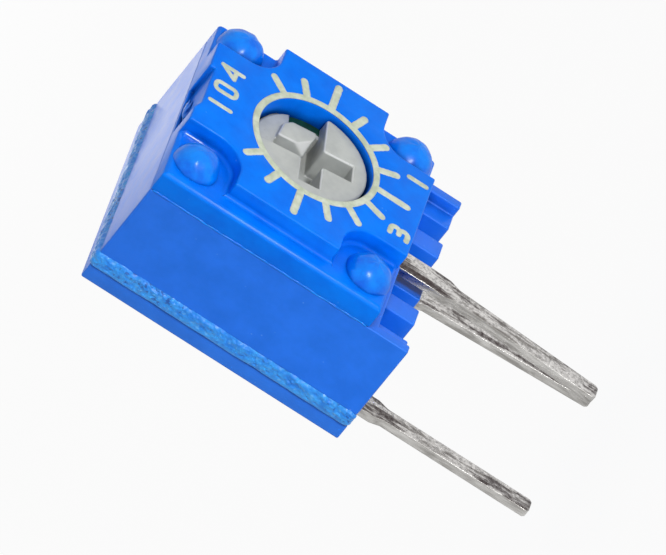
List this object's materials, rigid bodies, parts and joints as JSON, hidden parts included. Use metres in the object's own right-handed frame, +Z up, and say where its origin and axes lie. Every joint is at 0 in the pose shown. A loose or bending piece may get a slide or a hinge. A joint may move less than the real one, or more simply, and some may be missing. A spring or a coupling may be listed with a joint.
{
  "type": "trimmer potentiometer",
  "caption": "Single-turn trimmer potentiometer with a square sealed body, a cross-slotted rotor in a printed dial on its side, and flat leads for a circuit board.",
  "frame": {"origin": "where the middle lead, terminal 2, enters the board: its middle, at the board's surface", "axes": "+Z up from the board, -Y out of the dial along the rotor's axis, +X to the right of the dial"},
  "size_m": [0.0068, 0.0047, 0.0136],
  "materials": {
    "body_plastic": "satin moulded thermoplastic",
    "cover_plastic": "satin moulded thermoplastic, fine texture",
    "lid_plastic": "satin moulded thermoplastic",
    "sealing_epoxy": "cured epoxy with a rough, grainy surface",
    "rotor_plastic": "light grey moulded polyamide",
    "seal_rubber": "dark green silicone",
    "spring_alloy": "precious metal spring alloy",
    "ceramic_plate": "fired alumina",
    "resistive_film": "fired cermet film",
    "silver_film": "fired silver film",
    "tinned_lead": "tin plated, with rubbed and oxidised streaks",
    "solder": "reflowed solder",
    "printed_ink": "cream pad-printed ink"
  },
  "bodies": {
    "housing_body": {"housing": "body_plastic", "dial_cover": "cover_plastic", "back_lid": "lid_plastic", "sealing_bead": "sealing_epoxy", "seal_ring": "seal_rubber", "substrate": "ceramic_plate", "resistive_track": "resistive_film", "end_conductors": "silver_film", "collector": "silver_film", "terminal_1": "tinned_lead", "terminal_2": "tinned_lead", "terminal_3": "tinned_lead", "solder_joints": "solder", "dial_ring": "printed_ink", "dial_ticks": "printed_ink", "mark_1": "printed_ink", "mark_3": "printed_ink", "value_mark": "printed_ink"},
    "rotor_body": {"rotor": "rotor_plastic", "wiper": "spring_alloy"}
  },
  "joints": [
    {"name": "rotor_turn", "type": "hinge", "parent": "housing_body", "child": "rotor_body", "pos_m": [0.00025, 0, 0.00442], "axis": [0, 1, 0], "range_deg": [-121, 139]}
  ]
}
